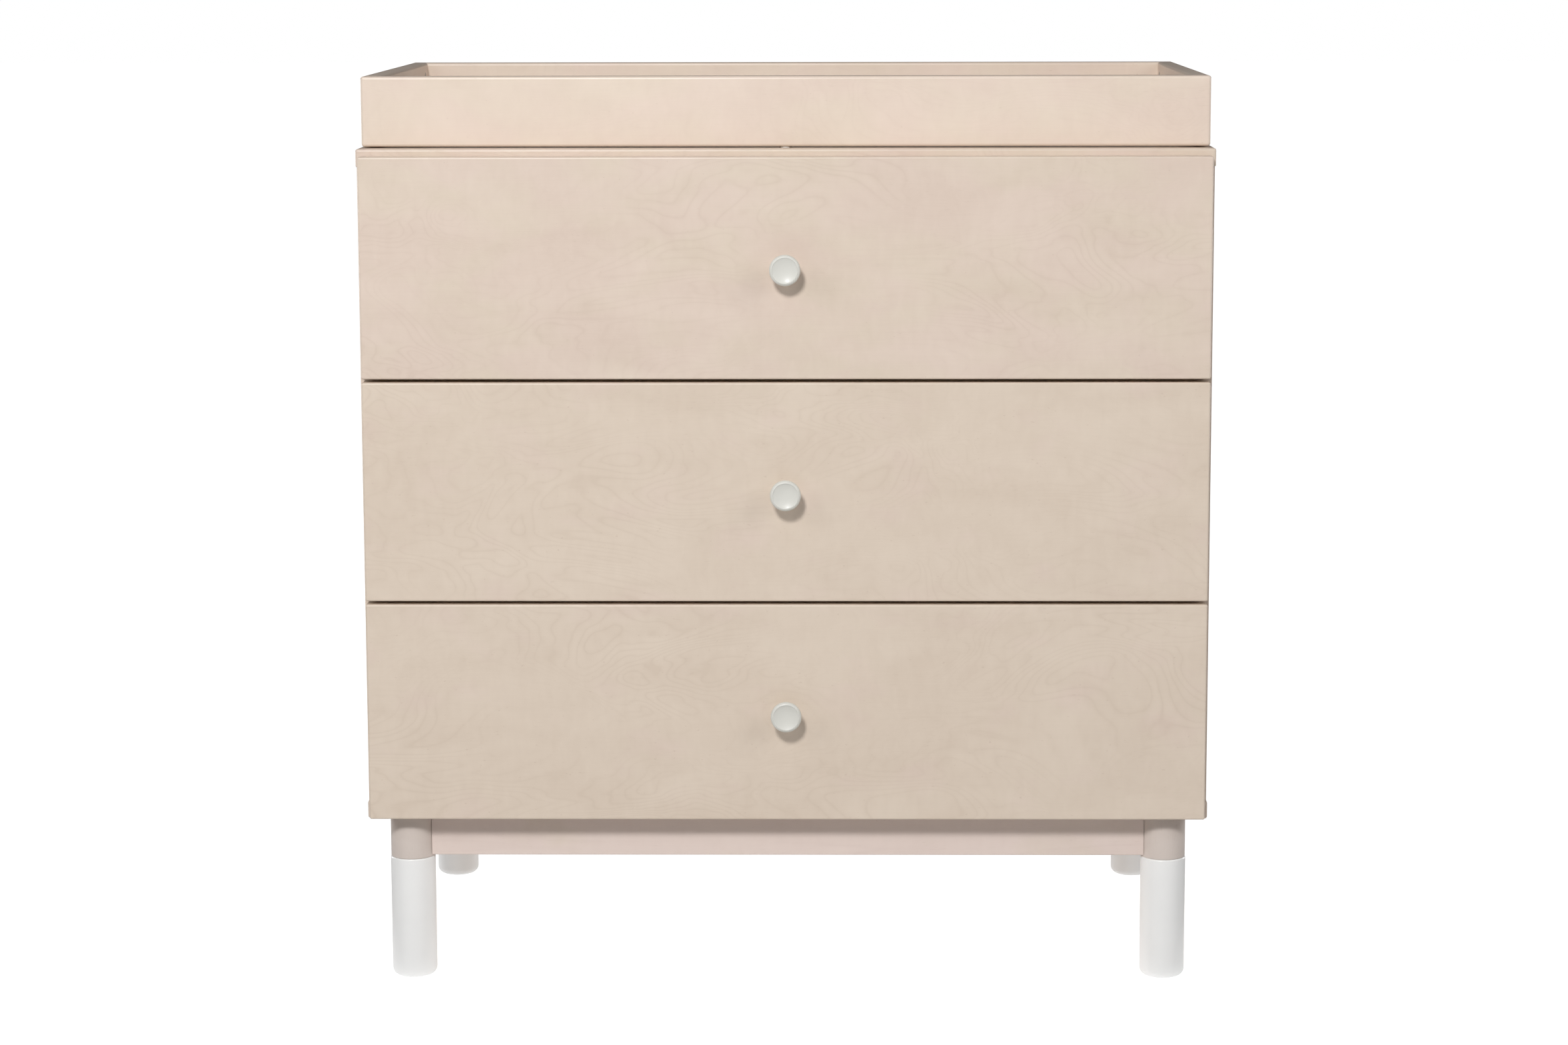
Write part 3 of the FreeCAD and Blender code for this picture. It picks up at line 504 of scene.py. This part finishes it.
def closeTree(graph, geometry, finish):
    real = graph.node("GeometryNodeRealizeInstances", None, {"Geometry": geometry})
    done = graph.node("GeometryNodeSetMaterial", None, {"Geometry": real, "Material": finish})
    graph.node("NodeGroupOutput", None, {"Geometry": done})
    return graph.tree


def ballRowTree():
    # rows of balls in a thin cage, one from each point, running back
    lengths = {name: "Float" for name in ("Ball", "Pitch", "Cage Width", "Cage Thickness")}
    labels = {"Geometry": "Geometry", "Balls": "Int", **lengths, "Finish": "Material"}
    graph, given = makeTree("ball rows", labels)
    step = graph.node("ShaderNodeCombineXYZ", None, {"Y": given["Pitch"]})
    line = graph.node("GeometryNodeMeshLine", {"mode": "OFFSET"}, {"Count": given["Balls"], "Offset": step})
    ball = graph.node("GeometryNodeMeshIcoSphere", None, {"Radius": given["Ball"] * 0.5, "Subdivisions": 2})
    ball = graph.node("GeometryNodeSetShadeSmooth", None, {"Geometry": ball})
    balls = graph.node("GeometryNodeInstanceOnPoints", None, {"Points": line, "Instance": ball})
    length = given["Pitch"] * given["Balls"]
    across = {"X": given["Cage Width"], "Y": length, "Z": given["Cage Thickness"]}
    size = graph.node("ShaderNodeCombineXYZ", None, across)
    strip = graph.node("GeometryNodeMeshCube", None, {"Size": size})
    middle = graph.node("ShaderNodeCombineXYZ", None, {"Y": (length - given["Pitch"]) * 0.5})
    strip = graph.node("GeometryNodeTransform", None, {"Geometry": strip, "Translation": middle})
    # the cage is open round each ball
    bore = {"Vertices": 10, "Radius": given["Ball"] * 0.56, "Depth": 0.01}
    hole = graph.node("GeometryNodeMeshCylinder", None, bore)
    holes = graph.node("GeometryNodeInstanceOnPoints", None, {"Points": line, "Instance": hole})
    holes = graph.node("GeometryNodeRealizeInstances", None, {"Geometry": holes})
    sockets = {"Mesh 1": strip, "Mesh 2": [holes]}
    cage = graph.node("GeometryNodeMeshBoolean", {"operation": "DIFFERENCE"}, sockets)
    row = graph.node("GeometryNodeJoinGeometry", None, {"Geometry": [balls, cage]})
    rows = graph.node("GeometryNodeInstanceOnPoints", None, {"Points": given["Geometry"], "Instance": row})
    return closeTree(graph, rows, given["Finish"])


def screwTree():
    # cross-recessed heads, each facing its point's own way
    sizes = {"Head": "Float", "Height": "Float", "Recess": "Float"}
    graph, given = makeTree("screw heads", {"Geometry": "Geometry", **sizes, "Finish": "Material"})
    radius = given["Head"] * 0.5
    cone = {"Vertices": 20, "Radius Top": radius * 0.72, "Radius Bottom": radius, "Depth": given["Height"]}
    head = graph.node("GeometryNodeMeshCone", None, cone)
    bars = []
    for long, short in (("X", "Y"), ("Y", "X")):
        size = {long: given["Head"] * 0.5, short: given["Recess"], "Z": given["Height"]}
        size = graph.node("ShaderNodeCombineXYZ", None, size)
        bar = graph.node("GeometryNodeMeshCube", None, {"Size": size})
        lift = graph.node("ShaderNodeCombineXYZ", None, {"Z": given["Height"] * 0.9})
        bars.append(graph.node("GeometryNodeTransform", None, {"Geometry": bar, "Translation": lift}))
    sockets = {"Mesh 1": head, "Mesh 2": bars}
    head = graph.node("GeometryNodeMeshBoolean", {"operation": "DIFFERENCE"}, sockets)
    way = graph.node("GeometryNodeInputNamedAttribute", {"data_type": "FLOAT_VECTOR"}, {"Name": "facing"})
    turn = graph.node("FunctionNodeAlignRotationToVector", {"axis": "Z"}, {"Vector": way})
    sockets = {"Points": given["Geometry"], "Instance": head, "Rotation": turn}
    return closeTree(graph, graph.node("GeometryNodeInstanceOnPoints", None, sockets), given["Finish"])


def grow(name, body, slotName, tree, values, places, facings=None):
    points = bpy.data.meshes.new(name + "_places")
    points.from_pydata(places, [], [])
    if facings:
        facing = points.attributes.new("facing", "FLOAT_VECTOR", "POINT")
        facing.data.foreach_set("vector", [part for way in facings for part in way])
    source = bpy.data.objects.new(name + "_places", points)
    bpy.context.scene.collection.objects.link(source)
    modifier = source.modifiers.new(tree.name, "NODES")
    modifier.node_group = tree
    for item in tree.interface.items_tree:
        if item.in_out == "INPUT" and item.name in values:
            modifier[item.identifier] = values[item.name]
    settled = source.evaluated_get(bpy.context.evaluated_depsgraph_get())
    piece = bpy.data.objects.new(name, bpy.data.meshes.new_from_object(settled))
    bpy.context.scene.collection.objects.link(piece)
    source.modifiers.remove(modifier)
    bpy.data.objects.remove(source)
    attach(piece, body)


# metres; rows are given from the middle of the slide and from the side panel
slideSizes = {
    "ball": 0.0026,
    "pitch": 0.0062,
    "balls": 22,
    "rear": 0.012,
    "cageThick": 0.0005,
    "steel": 0.0012,
    "outerRow": {"rise": 0.0149, "inwards": 0.0067, "width": 0.0050},
    "innerRow": {"rise": 0.0109, "inwards": 0.00845, "width": 0.0040},
    "screwHead": 0.007,
    "screwRecess": 0.0009,
    "caseHeadTall": 0.0011,
    "drawerHeadTall": 0.0016,
    "screwSteps": (0.035, 0.195, 0.360),
}
ballRows = ballRowTree()
screwHeads = screwTree()
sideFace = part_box("right_side_panel")[0][0]
caseScrews = {"places": [], "facings": []}


def headValues(height):
    values = {"Head": slideSizes["screwHead"], "Height": height, "Recess": slideSizes["screwRecess"]}
    return dict(values, Finish=plain["zinc_plated_steel"])


for level in ("bottom", "middle", "top"):
    low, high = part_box(level + "_intermediate_members")
    middle = (low[2] + high[2]) / 2
    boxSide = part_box(level + "_drawer_right_side")[1][0]
    rowStart = high[1] - slideSizes["rear"] - slideSizes["pitch"] * (slideSizes["balls"] - 1)
    for key, body in (("outerRow", "_slide_middles"), ("innerRow", "_drawer")):
        row = slideSizes[key]
        across = sideFace - row["inwards"]
        places = [(side * across, rowStart, middle + up * row["rise"]) for side in (-1, 1) for up in (-1, 1)]
        values = {
            "Ball": slideSizes["ball"],
            "Balls": slideSizes["balls"],
            "Pitch": slideSizes["pitch"],
            "Cage Width": row["width"],
            "Cage Thickness": slideSizes["cageThick"],
            "Finish": plain["slide_steel"],
        }
        kind = "outer" if key == "outerRow" else "inner"
        grow("%s_%s_slide_balls" % (level, kind), level + body, "slide_steel", ballRows, values, places)
    drawerScrews = []
    ways = []
    for side in (-1, 1):
        for step in slideSizes["screwSteps"]:
            caseScrews["places"].append((side * (sideFace - slideSizes["steel"]), low[1] + step, middle))
            caseScrews["facings"].append((-side, 0, 0))
            drawerScrews.append((side * (boxSide + slideSizes["steel"]), low[1] + step, middle))
            ways.append((side, 0, 0))
    values = headValues(slideSizes["drawerHeadTall"])
    name = level + "_drawer_slide_screws"
    grow(name, level + "_drawer", "zinc_plated_steel", screwHeads, values, drawerScrews, ways)
values = headValues(slideSizes["caseHeadTall"])
grow("case_slide_screws", "case", "zinc_plated_steel", screwHeads, values, **caseScrews)
print("slide balls and screws made")

# watts and metres; the room's light comes from all round
lightSizes = {
    "key": {"place": (-0.6, -3.35, 2.5), "across": 0.62, "power": 86, "shape": "DISK"},
    "right": {"place": (2.8, -2.2, 2.2), "across": 1.6, "power": 28, "shape": "SQUARE"},
    "left": {"place": (-2.8, -2.2, 2.2), "across": 1.6, "power": 20, "shape": "SQUARE"},
    "rear right": {"place": (2.9, 2.0, 0.6), "across": 1.0, "power": 26, "shape": "SQUARE"},
    "rear left": {"place": (-2.9, 2.0, 0.6), "across": 1.0, "power": 28, "shape": "SQUARE"},
}
lightAim = (0, -0.1, 0.55)
roomLight = 0.09

for name, sizes in lightSizes.items():
    data = bpy.data.lights.new(name, "AREA")
    data.shape = sizes["shape"]
    data.size = sizes["across"]
    data.energy = sizes["power"]
    lamp = bpy.data.objects.new(name, data)
    lamp.location = sizes["place"]
    aim = Vector(lightAim) - Vector(sizes["place"])
    lamp.rotation_euler = aim.to_track_quat("-Z", "Y").to_euler()
    bpy.context.scene.collection.objects.link(lamp)

world = bpy.data.worlds.new("studio")
world.use_nodes = True
bpy.context.scene.world = world
studio = Graph(world.node_tree)
seen = studio.node("ShaderNodeLightPath", output="Is Camera Ray")
strength = seen * (1 - roomLight) + roomLight
backdrop = studio.node("ShaderNodeBackground", None, {"Color": (1, 1, 1, 1), "Strength": strength})
studio.node("ShaderNodeOutputWorld", None, {"Surface": backdrop})

# a white floor that glows: the camera sees it white all over, and the square under the case also glows for
# every other ray, a stand-in for light bounced off the floor, which lights the underside of the case a little
floorSizes = {
    "across": 60,
    "pale": (208, 208, 208),
    "seenNear": 0.86,
    "seenFar": 1,
    "nearAcross": 3,
    "underGlow": 0.47,
    "under": (-0.55, 0.55, -0.22, 0.6),
}


def makeFloorFinish(name, glow):
    floor = Finish(name)
    grain = floor.noise(1, 0.5, 2)
    tone = floor.blend(grain * 0.1, linear(*floorSizes["pale"]), linear(*[v - 6 for v in floorSizes["pale"]]))
    eye = floor.node("ShaderNodeLightPath", output="Is Camera Ray")
    away = floor.node("ShaderNodeVectorMath", {"operation": "LENGTH"}, {0: floor.place}, "Value")
    far = floor.ramp(away * (1 / floorSizes["nearAcross"]), (0.25, 0), (1, 1))
    seen = floor.blend(far, *[(floorSizes[level],) * 3 for level in ("seenNear", "seenFar")])
    # the camera sees the floor's own white glow; every other ray sees only the glow given here, which is
    # above nothing only under the case, where it stands in for bounce light
    shine = floor.blend(eye, (glow,) * 3, seen)
    material = floor.finish(tone, 0.8, Emission_Color=shine, Emission_Strength=1)
    material.cycles.emission_sampling = "NONE"  # a floor this wide would draw the light samples away
    return material


half = floorSizes["across"] / 2
left, right, near, far = floorSizes["under"]
spreads = [(x, y, 0) for y in (-half, near, far, half) for x in (-half, left, right, half)]
corners = [4 * row + column for row in range(3) for column in range(3)]
squares = [(k, k + 1, k + 5, k + 4) for k in corners]
floorMesh = bpy.data.meshes.new("floor")
floorMesh.from_pydata(spreads, [], squares)
floorMesh.materials.append(makeFloorFinish("floor_finish", 0))
# the square under the case gets the glowing finish that stands in for light bounced off the floor
floorMesh.materials.append(makeFloorFinish("under_case_finish", floorSizes["underGlow"]))
floorMesh.polygons[4].material_index = 1
floor = bpy.data.objects.new("floor", floorMesh)
bpy.context.scene.collection.objects.link(floor)
print("light and floor made")
